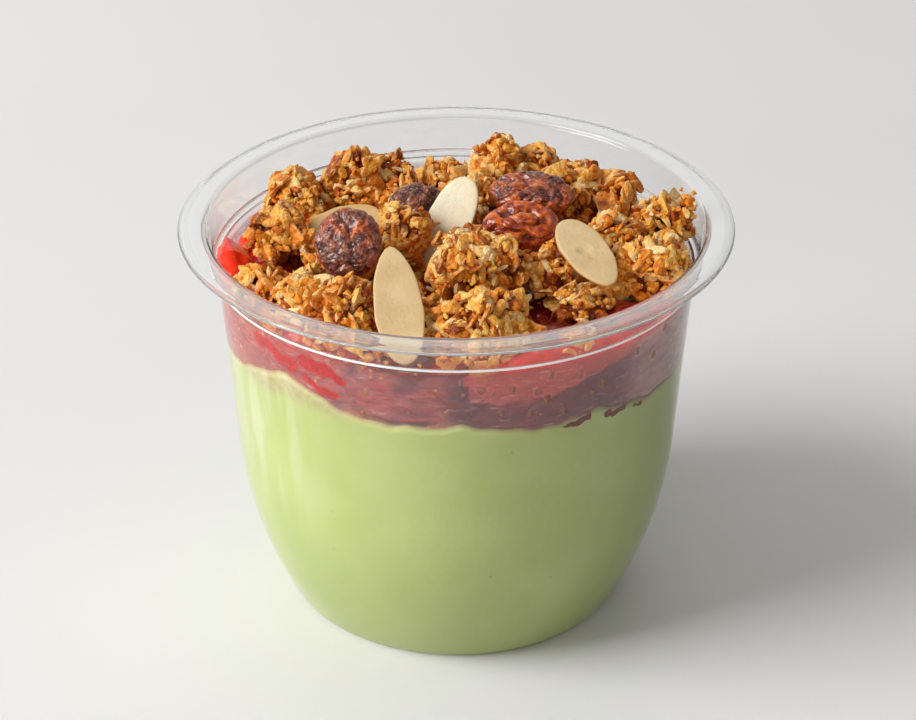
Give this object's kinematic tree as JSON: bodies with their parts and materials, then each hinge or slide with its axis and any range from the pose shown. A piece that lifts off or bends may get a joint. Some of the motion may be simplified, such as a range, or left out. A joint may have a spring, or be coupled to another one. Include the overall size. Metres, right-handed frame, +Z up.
{
  "type": "matcha dessert pot",
  "caption": "Clear plastic pot of matcha cream under sliced strawberries, topped with granola clusters, raisins and flaked almonds.",
  "frame": {"origin": "middle of the pot's base, on the surface that it stands on", "axes": "+Z up through the mouth, +X to the right and -Y towards the shown side, as in the picture"},
  "size_m": [0.095, 0.095, 0.077],
  "materials": {
    "clear_plastic": "clear, smooth and glossy",
    "cream": "smooth pale green cream",
    "strawberry": "wet red fruit",
    "granola": "baked oats with a slight honey gloss",
    "raisin": "wrinkled, half glossy skin",
    "almond": "pale, dry and slightly fibrous"
  },
  "bodies": {
    "root": {"tub": "clear_plastic", "matcha_cream": "cream", "strawberry_1": "strawberry", "strawberry_2": "strawberry", "strawberry_3": "strawberry", "strawberry_4": "strawberry", "strawberry_5": "strawberry", "strawberry_6": "strawberry", "strawberry_7": "strawberry", "strawberry_8": "strawberry", "strawberry_9": "strawberry", "strawberry_10": "strawberry", "strawberry_11": "strawberry", "strawberry_12": "strawberry", "strawberry_13": "strawberry", "strawberry_14": "strawberry", "strawberry_15": "strawberry", "strawberry_16": "strawberry", "strawberry_17": "strawberry", "granola_1": "granola", "granola_2": "granola", "granola_3": "granola", "granola_4": "granola", "granola_5": "granola", "granola_6": "granola", "granola_7": "granola", "granola_8": "granola", "granola_9": "granola", "granola_10": "granola", "granola_11": "granola", "granola_12": "granola", "granola_13": "granola", "granola_14": "granola", "granola_15": "granola", "granola_16": "granola", "granola_17": "granola", "granola_18": "granola", "granola_19": "granola", "granola_20": "granola", "granola_21": "granola", "granola_22": "granola", "granola_23": "granola", "granola_24": "granola", "granola_25": "granola", "granola_26": "granola", "raisin_1": "raisin", "raisin_2": "raisin", "raisin_3": "raisin", "raisin_4": "raisin", "almond_flake_1": "almond", "almond_flake_2": "almond", "almond_flake_3": "almond", "almond_flake_4": "almond"}
  },
  "joints": []
}
